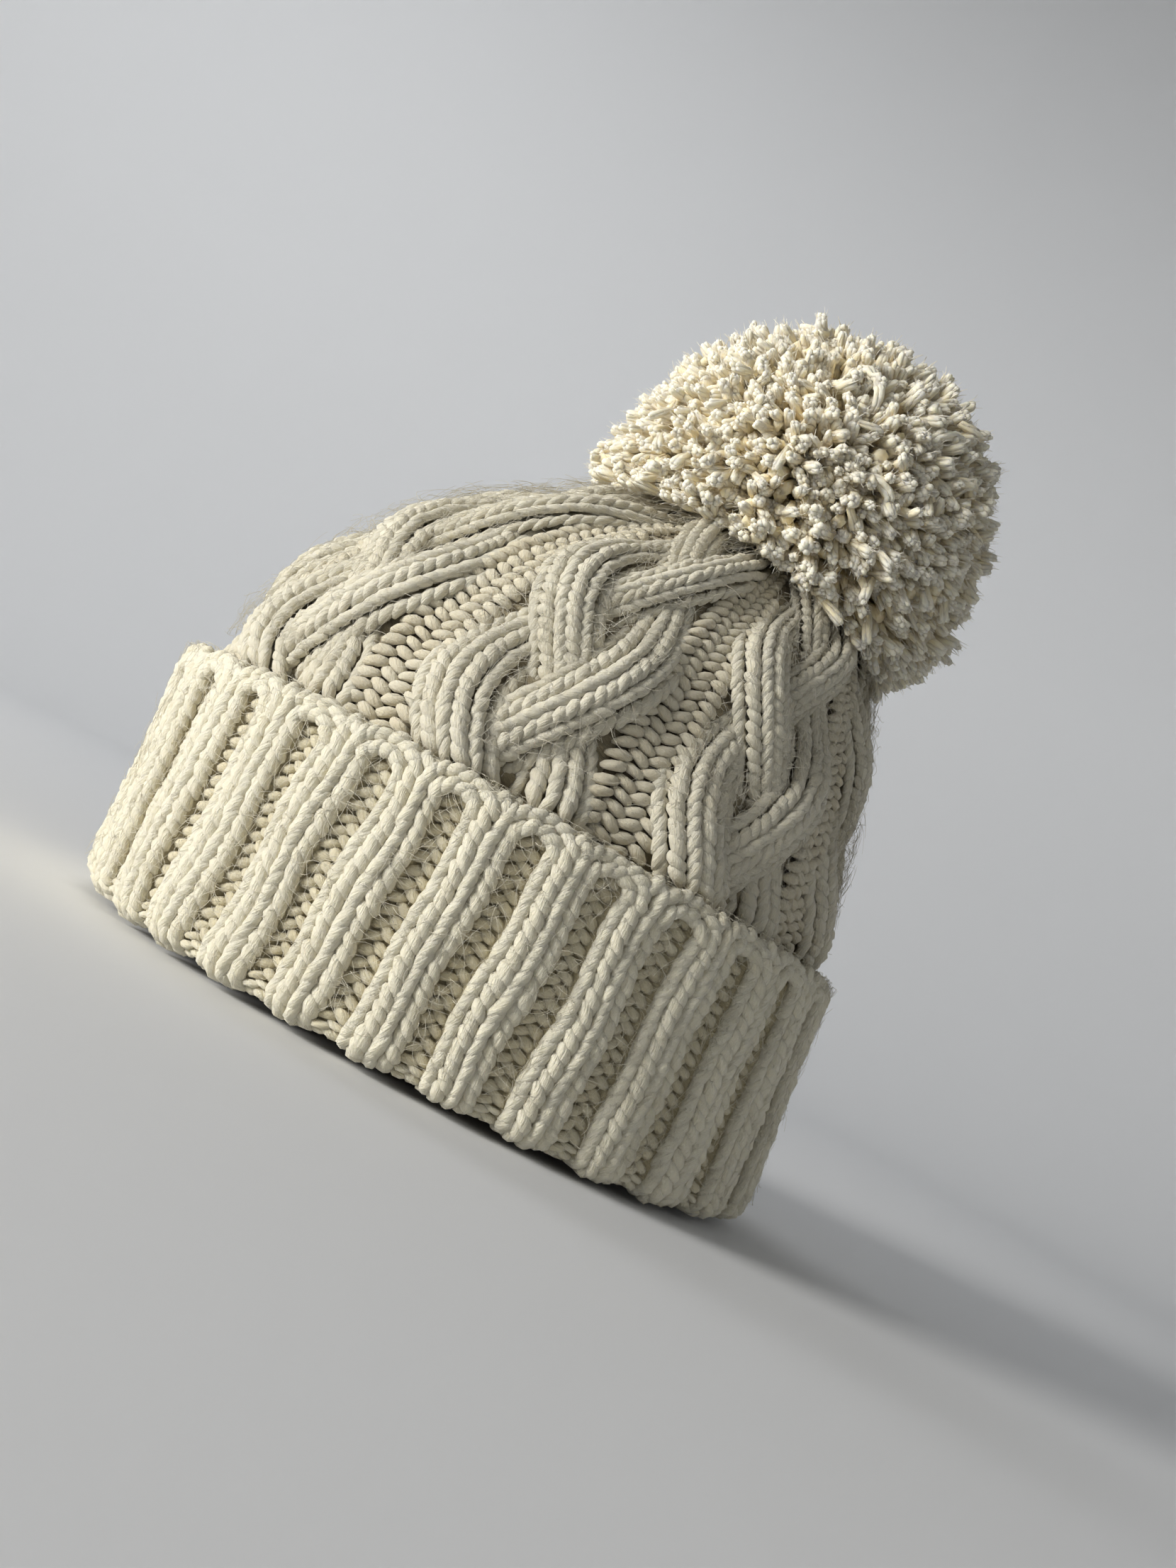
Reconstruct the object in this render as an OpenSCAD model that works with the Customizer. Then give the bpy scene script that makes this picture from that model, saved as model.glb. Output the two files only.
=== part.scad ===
// Cable-knit bobble hat with a turned-up ribbed cuff.
// +Z is the hat's own axis, the front of the hat is -Y and the wearer's left is +X.
// The origin is the middle of the hat's length and width, on the plane of the turned-up rim.

/* [Head opening] */
// Half the inside width of the opening, from the middle to one ear
opening_half_x = 77; // [70:1:84]
// Half the inside length of the opening, from the middle to the forehead
opening_half_y = 95; // [88:1:102]

/* [Cuff] */
// Height of the turned-up cuff
cuff_height = 75; // [60:1:90]
// Thickness of the rib layer next to the head
brim_thickness = 6.6; // [5:0.1:8]
// Thickness of the turned-up rib layer at the crest of a rib
cuff_thickness = 7.4; // [6:0.1:9]
// Play between the two rib layers
layer_gap = 0.5; // [0.4:0.1:1]
// Number of ribs round the cuff
rib_count = 28; // [24:1:32]
// Depth of the valley between two ribs
rib_depth = 3.6; // [2:0.1:4]
// Height of the fold at the rim
fold_height = 6; // [5:0.5:8]
// Height of the cast-on edge at the top of the cuff
edge_height = 5; // [4:0.5:7]
// How much further back the rim stands than the cuff's top edge
rim_setback = 7; // [0:0.5:8]

/* [Crown] */
// Height of the crown's peak above the rim
peak_height = 190; // [180:1:200]
// Height of the crown's widest level above the rim
widest_height = 60; // [50:1:66]
// Half the outside width of the crown across the ears
crown_half_x = 87; // [86:1:92]
// Half the outside length of the crown from front to back
crown_half_y = 102.5; // [102:0.5:106]
// Wall thickness at the peak
peak_wall = 11; // [8:0.5:13]
// How far the peak leans towards the back
peak_lean = 34; // [0:1:36]
// Number of plaited cables round the crown
cable_count = 8; // [6:1:9]
// Share of each repeat that the cable takes, the rest being the purl panel
cable_share = 0.8; // [0.7:0.01:0.85]
// Where the first purl panel stands, as an even angle from the wearer's left
first_panel_angle = 16; // [0:1:44]
// Depth of a purl panel below the crest of the cables
panel_depth = 3.5; // [2:0.1:4]

/* [Pompom] */
// Largest radius of the pompom
pompom_radius = 59.5; // [50:0.5:62]
// Height of the pompom's widest level above the rim
pompom_level = 206; // [204:1:210]
// Height of the pompom above its widest level
pompom_rise = 50; // [44:1:54]
// Distance from the crown's middle back to the pompom's axis
pompom_back = 31; // [30:0.5:32]
// Radius of the yarn that ties the pompom
tie_radius = 1.5; // [1.2:0.1:1.7]

/* [Hidden] */

cream = [0.90, 0.87, 0.77];
deep_cream = [0.83, 0.79, 0.66];
warm_cream = [0.95, 0.90, 0.77];

// The crown rests on the brim, one millimetre above the cuff.
crown_base = cuff_height + 1;
// The rib layers lean forward by the setback, so the crown's middle lies before the origin.
crown_middle = -rim_setback / 2;
pompom_y = crown_middle + pompom_back;
// Offsets of the rib layers from the opening
cuff_inside = brim_thickness + layer_gap;
cuff_outside = cuff_inside + cuff_thickness;

// The crown's outer and inner surfaces are two half ellipsoids with one centre.
outer_half = [crown_half_x, crown_half_y, peak_height - widest_height];
inner_half = [opening_half_x + 0.7, opening_half_y + 0.7, outer_half[2] - peak_wall];
// Latitude on the crown where the stitches are gathered
gather_latitude = 85.5;
lean_start = 82;
lean_power = 2.6;

// Grid of a crown panel
rows = 18;
cable_columns = 10;
panel_columns = 2;

// Plait of three strands
strand_swing = 0.55;
strand_half = 0.42;
strand_lift = 0.5;
strand_round = 2.2;
turn_at_base = -75;
turn_to_peak = 420;

// Pompom joint, in the middle of the gather yarn
pivot_height = 184;
gather_ring = 4;
knot_radius = 5;
knot_back = 27;
knot_height = 176;
tail_end = 154;
waist_ring = 6.5;
core_radius = 9;
core_top = pompom_level + 10;
bundle_gap = 0.15;
pompom_underside = 195.2;

// Turns an even share of the way round an oval into its ellipse angle.
function even_angle(s, half_x, half_y) =
    s - 90 / PI * (half_y - half_x) / (half_y + half_x) * sin(2 * s);

// A point of the oval that lies a distance outside the opening
function oval_point(s, offset) =
    let (t = even_angle(s, opening_half_x, opening_half_y))
    [(opening_half_x + offset) * cos(t), (opening_half_y + offset) * sin(t)];

function oval(offset, count) =
    [for (i = [0 : count - 1]) oval_point(360 * i / count, offset)];

function lean_at(z) =
    z < lean_start ? 0
    : peak_lean * pow((z - lean_start) / (peak_height - lean_start), lean_power);

// A point of the crown: part runs from 0 at its base to 1 at the gather.
function crown_point(s, part, half, drop) =
    let (
        t = even_angle(s, crown_half_x, crown_half_y),
        low = asin((crown_base - widest_height) / (half[2] - drop)),
        latitude = low + (gather_latitude - low) * part,
        z = widest_height + (half[2] - drop) * sin(latitude)
    )
    [
        (half[0] - drop) * cos(latitude) * cos(t),
        crown_middle + (half[1] - drop) * cos(latitude) * sin(t) + lean_at(z),
        z
    ];

// Height of one strand of the plait over the panel, across being -1 to 1
function strand_height(across, turn) =
    let (reach = (across - strand_swing * sin(turn)) / strand_half)
    abs(reach) >= 1 ? 0
    : strand_round * sqrt(1 - reach * reach) + strand_lift * sin(2 * turn);

function cable_drop(across, part) =
    panel_depth - max([
        for (k = [0 : 2])
            strand_height(across, turn_at_base + turn_to_peak * part + 120 * k),
        0
    ]);

// A curved panel of the crown, as one closed surface
module crown_panel(middle, width, columns, plaited) {
    along = rows + 1;
    grid = (columns + 1) * along;
    function across(i) = 2 * i / columns - 1;
    function drop(i, j) =
        plaited && i > 0 && i < columns ? cable_drop(across(i), j / rows) : panel_depth;
    outer = [
        for (i = [0 : columns], j = [0 : rows])
            crown_point(middle + width / 2 * across(i), j / rows, outer_half, drop(i, j))
    ];
    inner = [
        for (i = [0 : columns], j = [0 : rows])
            crown_point(middle + width / 2 * across(i), j / rows, inner_half, 0)
    ];
    skin = [
        for (i = [0 : columns - 1], j = [0 : rows - 1])
            let (a = i * along + j, b = a + along)
            each [
                [a, a + 1, b], [b, a + 1, b + 1],
                [grid + a, grid + b, grid + a + 1], [grid + b, grid + b + 1, grid + a + 1]
            ]
    ];
    ends = [
        for (i = [0 : columns - 1], j = [0, rows])
            let (
                a = i * along + j,
                b = a + along,
                first = j == 0 ? a : b,
                second = j == 0 ? b : a
            )
            each [
                [first, second, grid + second],
                [first, grid + second, grid + first]
            ]
    ];
    sides = [
        for (i = [0, columns], j = [0 : rows - 1])
            let (a = i * along + j)
            each i == 0
                ? [[a + 1, a, grid + a], [a + 1, grid + a, grid + a + 1]]
                : [[a, a + 1, grid + a], [a + 1, grid + a + 1, grid + a]]
    ];
    polyhedron(points = concat(outer, inner), faces = concat(skin, ends, sides));
}

module cable_braid(number) {
    step = 360 / cable_count;
    color(cream)
        crown_panel(first_panel_angle + step * (number - 0.5), step * cable_share,
            cable_columns, true);
}

module purl_panel(number) {
    step = 360 / cable_count;
    color(deep_cream)
        crown_panel(first_panel_angle + step * number, step * (1 - cable_share),
            panel_columns, false);
}

// Rakes both rib layers alike: the rim stands furthest back, the top edge not at all.
module raked() {
    multmatrix([
        [1, 0, 0, 0],
        [0, 1, -rim_setback / crown_base, rim_setback / 2],
        [0, 0, 1, 0]
    ])
        children();
}

// A band between two offsets from the opening, between two levels
module level_band(inside, outside, low, high) {
    translate([0, 0, low])
        linear_extrude(height = high - low)
            difference() {
                polygon(oval(outside, 112));
                polygon(oval(inside, 112));
            }
}

// The same band, raked with the rib layers
module oval_band(inside, outside, low, high) {
    raked()
        level_band(inside, outside, low, high);
}

// The rib layer next to the head
module brim_inner() {
    color(cream)
        oval_band(0, brim_thickness, fold_height + layer_gap, crown_base);
}

// The turned-up rib layer, with round-topped ribs and narrow valleys
module cuff_panel() {
    points_per_rib = 10;
    count = rib_count * points_per_rib;
    ribbed = [
        for (i = [0 : count - 1])
            oval_point(360 * i / count,
                cuff_outside - rib_depth * pow(abs(sin(180 * i / points_per_rib)), 3))
    ];
    color(cream)
        raked()
            translate([0, 0, fold_height])
                linear_extrude(height = cuff_height - edge_height - fold_height)
                    difference() {
                        polygon(ribbed);
                        polygon(oval(cuff_inside, 112));
                    }
}

// The rim, where the fabric turns up on itself
module cuff_fold() {
    color(cream) {
        translate([0, rim_setback / 2, 0])
            level_band(0.4, cuff_outside - 0.4, 0, fold_height / 2);
        oval_band(0, cuff_outside, fold_height / 2, fold_height);
    }
}

// The cast-on edge at the top of the cuff
module cuff_edge() {
    color(cream)
        oval_band(cuff_inside, cuff_outside - 0.6, cuff_height - edge_height, cuff_height);
}

module yarn_ring(ring_radius, yarn_radius) {
    rotate_extrude($fn = 48)
        translate([ring_radius, 0])
            circle(r = yarn_radius, $fn = 24);
}

// The drawn-up yarn that closes the crown round the tie
module gather_yarn() {
    color(deep_cream)
        translate([0, pompom_y, pivot_height])
            yarn_ring(gather_ring, tie_radius);
}

// The knot that holds the pompom from inside the crown
module anchor_knot() {
    color(cream)
        translate([0, crown_middle + knot_back, knot_height])
            sphere(r = knot_radius, $fn = 32);
}

// The two cut ends below the knot
module tie_tails() {
    color(cream)
        for (side = [-1, 1])
            translate([side * 2, crown_middle + knot_back, tail_end])
                cylinder(r = tie_radius * 0.8, h = knot_height - knot_radius - tail_end + 1,
                    $fn = 24);
}

// The tie between the crown and the pompom, which bends at its lower end
module tie_neck() {
    neck_top = pompom_level - waist_ring - tie_radius - layer_gap;
    color(cream)
        translate([0, pompom_y, pivot_height]) {
            sphere(r = tie_radius + 0.6, $fn = 32);
            cylinder(r = tie_radius + 0.3, h = neck_top - pivot_height, $fn = 32);
        }
}

// The tight loop round the middle of the pompom's yarns
module waist_tie() {
    color(cream)
        translate([0, pompom_y, pompom_level])
            rotate([0, 90, 0])
                yarn_ring(waist_ring, tie_radius);
}

// The pompom's outline: a dome with a nearly flat underside over the crown
function pompom_outline() = concat(
    [
        [core_radius, core_top],
        [core_radius, pompom_underside],
        [pompom_radius - 9, pompom_underside],
        [pompom_radius - 3, pompom_underside - 1]
    ],
    [
        for (angle = [-10 : 10 : 80])
            [pompom_radius * cos(angle), pompom_level + pompom_rise * sin(angle)]
    ],
    [
        [0, pompom_level + pompom_rise],
        [0, core_top]
    ]
);

// One of the two bundles of yarn that the waist tie parts
module pompom_bundle(side) {
    width = 2 * pompom_radius;
    color(warm_cream)
        intersection() {
            translate([0, pompom_y, 0])
                rotate_extrude($fn = 64)
                    polygon(pompom_outline());
            translate([side * (width / 2 + bundle_gap), pompom_y, pompom_level])
                cube([width, 2 * width, 2 * width], center = true);
        }
}

module pompom_left_bundle() {
    pompom_bundle(1);
}

module pompom_right_bundle() {
    pompom_bundle(-1);
}

cable_braid(1);  // cable_braid_1
cable_braid(2);  // cable_braid_2
cable_braid(3);  // cable_braid_3
cable_braid(4);  // cable_braid_4
cable_braid(5);  // cable_braid_5
cable_braid(6);  // cable_braid_6
cable_braid(7);  // cable_braid_7
cable_braid(8);  // cable_braid_8
purl_panel(1);  // purl_panel_1
purl_panel(2);  // purl_panel_2
purl_panel(3);  // purl_panel_3
purl_panel(4);  // purl_panel_4
purl_panel(5);  // purl_panel_5
purl_panel(6);  // purl_panel_6
purl_panel(7);  // purl_panel_7
purl_panel(8);  // purl_panel_8
brim_inner();
cuff_panel();
cuff_fold();
cuff_edge();
gather_yarn();
anchor_knot();
tie_tails();
tie_neck();
waist_tie();
pompom_left_bundle();
pompom_right_bundle();
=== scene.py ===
"""Looks of the cable-knit bobble hat: stitches and pompom yarns as meshes round the CAD frame."""

import math

import bpy
import numpy as np
from mathutils import Matrix, Vector


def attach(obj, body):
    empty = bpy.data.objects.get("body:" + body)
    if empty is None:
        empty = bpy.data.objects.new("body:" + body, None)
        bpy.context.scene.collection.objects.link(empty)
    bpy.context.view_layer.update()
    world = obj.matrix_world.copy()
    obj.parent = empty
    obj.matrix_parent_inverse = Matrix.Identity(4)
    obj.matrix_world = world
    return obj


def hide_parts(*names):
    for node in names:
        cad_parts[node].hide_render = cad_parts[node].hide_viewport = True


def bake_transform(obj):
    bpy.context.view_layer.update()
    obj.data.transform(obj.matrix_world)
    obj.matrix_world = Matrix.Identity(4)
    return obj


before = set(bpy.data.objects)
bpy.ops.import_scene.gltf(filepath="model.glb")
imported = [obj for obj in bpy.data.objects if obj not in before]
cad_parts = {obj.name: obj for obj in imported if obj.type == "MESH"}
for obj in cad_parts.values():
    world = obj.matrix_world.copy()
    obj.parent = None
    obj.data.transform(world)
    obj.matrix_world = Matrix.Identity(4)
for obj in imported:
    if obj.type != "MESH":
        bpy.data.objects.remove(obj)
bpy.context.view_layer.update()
rng = np.random.default_rng(20261)

# Lengths below are in millimetres and angles in degrees, as in the CAD part.
MM = 0.001

# Half width and half length of the opening, and how far the rib layers lean back in their height
OPENING = (77.0, 95.0)
SETBACK = 7.0
RIBS = 28
CUFF_TOP = 75.0
RIM_LENGTH = 633.0
RIB_PITCH = RIM_LENGTH / RIBS

# Height of a row of stitches, and distance between the two legs of a stitch
ROW = 3.77
LEG = 3.75

# The cuff's fabric: its middle offsets outside and inside, and the half ring that joins them
OUTER_MIDDLE, INNER_MIDDLE = 10.2, 3.4
TURN_LEVEL = 6.5
TURN_DROP = 2.8
TURN_LENGTH = 16.6

# The crown: the half axes, middle and base of its dome, and how it leans back towards the peak
CROWN = (87.0, 102.5, 130.0)
CROWN_MIDDLE = 60.0
CROWN_FORWARD = -SETBACK / 2
CROWN_BASE = 76.0
CROWN_LENGTH = 597.0
LEAN, LEAN_START, LEAN_SPAN, LEAN_POWER = 34.0, 82.0, 108.0, 2.6
CABLES = 8
CABLE_STEP = 45.0
CABLE_WIDTH = 36.0
FIRST_PANEL = 16.0

# The pompom's upright axis behind the hat's middle, and the height of its tie
POMPOM_AXIS = CROWN_FORWARD + 31.0
TIE_LEVEL = 206.0


# ---------------------------------------------------------------- surfaces

def even_angle(s, half_x, half_y):
    """An even share of the way round an oval, as the oval's own angle in radians."""
    return np.radians(s) - 0.5 * (half_y - half_x) / (half_y + half_x) * np.sin(2 * np.radians(s))


def rake(z):
    """How far back the rib layers stand at a height."""
    return SETBACK * (0.5 - z / CROWN_BASE)


def cuff_surface(p):
    """Cuff chart to the row frame: mm round the rim, mm up the outside (negative round the fold
    and up the inside) and height above the fabric's middle.

    Towards the rim the ribs run askew and the cuff stands out unevenly, as worn fabric does.
    """
    u, w, n = p[..., 0], p[..., 1], p[..., 2]
    turn = math.pi * np.clip(-w / TURN_LENGTH, 0, 1)
    middle, reach = (OUTER_MIDDLE + INNER_MIDDLE) / 2, (OUTER_MIDDLE - INNER_MIDDLE) / 2
    offset = middle + (reach + n) * np.cos(turn)
    z = TURN_LEVEL - (TURN_DROP + n) * np.sin(turn) + np.maximum(w, 0) + np.maximum(-w - TURN_LENGTH, 0)
    below = np.clip(1 - z / CUFF_TOP, 0, 1)
    way = u * 2 * math.pi / RIM_LENGTH
    ripple = 0.5 * np.sin(z * 0.16 + 5 * way) + 0.35 * np.sin(z * 0.09 + 13 * way)
    u = u - (SETBACK * np.cos(way) + 2.0) * below + ripple
    outward = np.clip(offset / 7, 0, 1)
    swell = 0.5 * below + 0.5 * np.sin(3 * way + 1.0) * below + 0.3 * np.sin(z * 0.11 + 9 * way)
    offset = offset + outward * swell
    z = z + (1.6 * np.cos(way) ** 2 + 2.6 * np.abs(np.sin(way)) ** 5) * below ** 2
    t = even_angle(u * 360 / RIM_LENGTH, *OPENING)
    x, y = (OPENING[0] + offset) * np.cos(t), (OPENING[1] + offset) * np.sin(t)
    return np.stack([x, y + rake(z), z], -1)


def brim_surface(p):
    """Brim chart to the row frame: mm round the rim, height and offset from the opening."""
    t = even_angle(p[..., 0] * 360 / RIM_LENGTH, *OPENING)
    x, y = (OPENING[0] + p[..., 2]) * np.cos(t), (OPENING[1] + p[..., 2]) * np.sin(t)
    return np.stack([x, y + rake(p[..., 1]), p[..., 1]], -1)


def lean_at(z):
    """How far back the crown leans at a height."""
    return LEAN * (np.clip(z - LEAN_START, 0, None) / LEAN_SPAN) ** LEAN_POWER


def lean_slope(z):
    """How fast the lean grows with height."""
    rise = np.clip(z - LEAN_START, 0, None) / LEAN_SPAN
    return LEAN * LEAN_POWER / LEAN_SPAN * rise ** (LEAN_POWER - 1)


# Distance along a mean meridian of the crown, from its base, against latitude
LATITUDES = np.radians(np.linspace(-8, 90, 981))
MEAN_HALF = (CROWN[0] + CROWN[1]) / 2
PACE = np.hypot(MEAN_HALF * np.sin(LATITUDES), CROWN[2] * np.cos(LATITUDES))
MERIDIAN = np.concatenate([[0], np.cumsum((PACE[1:] + PACE[:-1]) / 2 * np.diff(LATITUDES))])
BASE_LATITUDE = math.asin((CROWN_BASE - CROWN_MIDDLE) / CROWN[2])
MERIDIAN -= np.interp(BASE_LATITUDE, LATITUDES, MERIDIAN)
LAST_LATITUDE = math.radians(83.5)
CROWN_END = float(np.interp(LAST_LATITUDE, LATITUDES, MERIDIAN))


def crown_latitude(v):
    """Latitude on the dome at a distance up the meridian."""
    return np.interp(v, MERIDIAN, LATITUDES)


# Cosine of the latitude at which the yarn has its full thickness
FULL_YARN = 0.94


def yarn_scale(v):
    """How much thinner the yarn is drawn towards the peak."""
    return np.clip(np.cos(crown_latitude(v)) / FULL_YARN, 0.42, 1.05) ** 0.75


def crown_surface(p):
    """Crown chart to the row frame: mm round the widest level, mm up a meridian and height."""
    latitude = crown_latitude(p[..., 1])
    t = even_angle(p[..., 0] * 360 / CROWN_LENGTH, CROWN[0], CROWN[1])
    c, s = np.cos(latitude), np.sin(latitude)
    z = CROWN_MIDDLE + CROWN[2] * s
    gradient = np.stack([c * np.cos(t) / CROWN[0], c * np.sin(t) / CROWN[1], s / CROWN[2]], -1)
    gradient[..., 2] -= gradient[..., 1] * lean_slope(z)
    gradient /= np.linalg.norm(gradient, axis=-1, keepdims=True)
    y = CROWN_FORWARD + CROWN[1] * c * np.sin(t) + lean_at(z)
    base = np.stack([CROWN[0] * c * np.cos(t), y, z], -1)
    tuck = 2.2 * np.clip(1 - p[..., 1] / 10, 0, 1) ** 2
    return base + gradient * (p[..., 2] - tuck)[..., None]


def crown_height(x, y):
    """Height of the crown's outer surface over a point, or a low level outside it."""
    z = np.full(np.shape(x), 170.0)
    for _ in range(30):
        inside = 1 - (x / CROWN[0]) ** 2 - ((y - CROWN_FORWARD - lean_at(z)) / CROWN[1]) ** 2
        z = 0.5 * z + 0.5 * (CROWN_MIDDLE + CROWN[2] * np.sqrt(np.clip(inside, 0, 1)))
    return z


def flat(p):
    """No chart: the points are in the row frame already."""
    return p


# ---------------------------------------------------------------- yarn meshes

PLY_PITCH = 13.0

# Where round a tube its first side starts, in turns: the under side of the yarn
SEAM = -0.25
UV_PER_MM = 0.1


class Yarn:
    """Collects tubes and slabs of yarn and makes one mesh of them."""

    def __init__(self):
        self.points, self.loops, self.sizes = [], [], []
        self.uvs, self.tones, self.painted_shades = [], [], []
        self.count = 0

    def _faces(self, faces, uv):
        self.loops.append(faces.reshape(-1))
        self.sizes.append(np.full(len(faces), faces.shape[1]))
        self.uvs.append(uv.reshape(-1, 2))

    def tubes(self, path, wide, high, sides, place, up=(0, 0, 1), painted_shade=0.0, ply=0.07):
        """Tubes along path (tubes, rings, 3) with half widths across and towards up.

        How low the yarn lies between its neighbours is painted into its colour as shade, and ply says how
        strongly its two plies show in its outline.
        """
        number, rings = path.shape[:2]
        wide = np.broadcast_to(wide, (number, rings))
        high = np.broadcast_to(high, (number, rings))
        tangent = np.gradient(path, axis=1)
        tangent /= np.linalg.norm(tangent, axis=-1, keepdims=True) + 1e-9
        first = np.cross(tangent, np.broadcast_to(np.asarray(up, float), tangent.shape))
        first /= np.linalg.norm(first, axis=-1, keepdims=True) + 1e-9
        second = np.cross(first, tangent)
        step = np.linalg.norm(np.diff(path, axis=1), axis=-1)
        along = np.concatenate([np.zeros((number, 1)), np.cumsum(step, 1)], 1)
        along = along + rng.uniform(0, 400, (number, 1))
        angle = 2 * math.pi * (np.arange(sides) / sides + SEAM)
        plies = 1 + ply * np.cos(2 * (angle - 2 * math.pi * along[:, :, None] / PLY_PITCH))
        ring = (
            path[:, :, None]
            + (wide[:, :, None] * np.cos(angle) * plies)[..., None] * first[:, :, None]
            + (high[:, :, None] * np.sin(angle) * plies)[..., None] * second[:, :, None]
        )
        base = self.count + np.arange(number)[:, None, None] * rings * sides
        m = np.arange(rings - 1)[None, :, None] * sides
        k = np.arange(sides)[None, None, :]
        nxt = (k + 1) % sides
        corners = [base + m + k, base + m + sides + k, base + m + sides + nxt, base + m + nxt]
        quads = np.stack(corners, -1)
        width = (2 * math.pi * np.mean((wide + high) / 2, 1))[:, None, None] / sides
        side_shift = rng.uniform(0, 90, (number, 1, 1))
        lo, hi = along[:, :-1, None], along[:, 1:, None]
        v0, v1 = k * width + side_shift, (k + 1) * width + side_shift
        shape = quads.shape[:3]
        uv = np.stack([
            np.stack([np.broadcast_to(a, shape), np.broadcast_to(b, shape)], -1)
            for a, b in ((lo, v0), (hi, v0), (hi, v1), (lo, v1))
        ], -2)
        self._faces(quads.reshape(-1, 4), uv)
        first_ring = base[:, :, 0] + np.arange(sides)
        for end, cap in ((0, first_ring), (-1, (first_ring + (rings - 1) * sides)[:, ::-1])):
            uv = np.stack([along[:, end], side_shift[:, 0, 0]], -1)
            self._faces(cap, np.repeat(uv[:, None], sides, 1))
        self.points.append(place(ring).reshape(-1, 3))
        self.tones.append(np.repeat(rng.uniform(-1, 1, number), rings * sides))
        self.painted_shades.append(np.repeat(np.broadcast_to(painted_shade, (number, rings)).reshape(-1), sides))
        self.count += number * rings * sides

    def slab(self, u, v, outer, inner, place, painted_shade, wrap=False):
        """A closed slab over a grid, with outer and inner heights given as (u, v) functions.

        wrap says that the grid runs all the way round, so the slab has no first and last side.
        """
        # The slab is painted one strength of shade all over; above 1 it passes the wool's shade colour
        # towards the dark painted shadow between yarns.
        grid_u, grid_v = np.meshgrid(u, v, indexing="ij")
        rows, columns = grid_u.shape
        top = np.stack([grid_u, grid_v, outer(grid_u, grid_v)], -1)
        under = np.stack([grid_u, grid_v, inner(grid_u, grid_v)], -1)
        index = self.count + np.arange(rows * columns).reshape(rows, columns)
        below = index + rows * columns

        def patch(a, b, c, d):
            quads = np.stack([a, b, c, d], -1).reshape(-1, 4)
            flat_uv = np.stack([grid_u, grid_v], -1).reshape(-1, 2)
            self._faces(quads, flat_uv[(quads - self.count) % (rows * columns)])

        patch(index[:-1, :-1], index[1:, :-1], index[1:, 1:], index[:-1, 1:])
        patch(below[:-1, :-1], below[:-1, 1:], below[1:, 1:], below[1:, :-1])
        patch(index[:-1, 0], below[:-1, 0], below[1:, 0], index[1:, 0])
        patch(index[:-1, -1], index[1:, -1], below[1:, -1], below[:-1, -1])
        if not wrap:
            patch(index[0, :-1], index[0, 1:], below[0, 1:], below[0, :-1])
            patch(index[-1, :-1], below[-1, :-1], below[-1, 1:], index[-1, 1:])
        self.points.append(place(np.concatenate([top, under])).reshape(-1, 3))
        self.tones.append(np.zeros(2 * rows * columns))
        self.painted_shades.append(np.full(2 * rows * columns, painted_shade))
        self.count += 2 * rows * columns

    def piece(self, name, body, slot_name, material, nodes=()):
        """One mesh of all the yarn so far, riding on a body and replacing CAD nodes."""
        mesh = bpy.data.meshes.new(name)
        points = np.concatenate(self.points) * MM
        loops = np.concatenate(self.loops)
        sizes = np.concatenate(self.sizes)
        mesh.vertices.add(len(points))
        mesh.vertices.foreach_set("co", points.ravel())
        mesh.loops.add(len(loops))
        mesh.loops.foreach_set("vertex_index", loops.astype(np.int32))
        mesh.polygons.add(len(sizes))
        starts = np.concatenate([[0], np.cumsum(sizes)[:-1]])
        mesh.polygons.foreach_set("loop_start", starts.astype(np.int32))
        mesh.update(calc_edges=True)
        mesh.polygons.foreach_set("use_smooth", np.ones(len(sizes), bool))
        uv = mesh.uv_layers.new(name="yarn")
        uv.data.foreach_set("uv", (np.concatenate(self.uvs) * UV_PER_MM).ravel())
        # Per point: a random tone for each yarn, and the strength of the painted shade where it lies low.
        for label, values in (("tone", self.tones), ("painted_shade", self.painted_shades)):
            attribute = mesh.attributes.new(label, "FLOAT", "POINT")
            attribute.data.foreach_set("value", np.concatenate(values).astype(np.float32))
        mesh.materials.append(material)
        piece = bpy.data.objects.new(name, mesh)
        bpy.context.scene.collection.objects.link(piece)
        if body:
            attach(piece, body)
        if nodes:
            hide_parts(*nodes)
        return piece


def even(height):
    """A face of a slab at one height."""
    return lambda u, v: np.full(u.shape, height)


# Rings of a bead of yarn: place along it, thickness and how far it dips under its neighbours
BEAD = np.array([0.0, 0.13, 0.36, 0.64, 0.87, 1.0])
BEAD_FAT = np.array([0.32, 0.72, 1.0, 1.02, 0.80, 0.42])
SLEEK_FAT = np.array([0.52, 0.82, 1.0, 1.03, 0.90, 0.62])
BEAD_DIP = np.array([1.0, 0.5, 0.04, 0.0, 0.45, 1.0])


def beads(yarn, centre, direction, length, wide, high, dip, sides, place, slope=0.0, painted_shade=0.0,
          fat=BEAD_FAT):
    """Short spindles of yarn, one for each leg of a stitch, a little uneven as hand knitting is."""
    number = len(centre)
    length = np.broadcast_to(length, number) * rng.uniform(0.94, 1.07, number)
    wide = np.broadcast_to(wide, number) * rng.uniform(0.92, 1.08, number)
    high = np.broadcast_to(high, number) * rng.uniform(0.92, 1.08, number)
    centre = centre + rng.normal(0, 0.14, (number, 3))
    angle = np.arctan2(direction[:, 1], direction[:, 0]) + rng.normal(0, 0.055, number)
    way = np.stack([np.cos(angle), np.sin(angle)], -1)
    t = BEAD - 0.5
    path = np.repeat(centre[:, None], len(t), 1)
    path[..., :2] += (length[:, None] * t)[..., None] * way[:, None]
    path[..., 2] += np.broadcast_to(slope, number)[:, None] * (length[:, None] * t)
    path[..., 2] -= np.broadcast_to(dip, number)[:, None] * BEAD_DIP
    yarn.tubes(path, wide[:, None] * fat, high[:, None] * fat, sides, place, painted_shade=painted_shade, ply=0.1)


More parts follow.
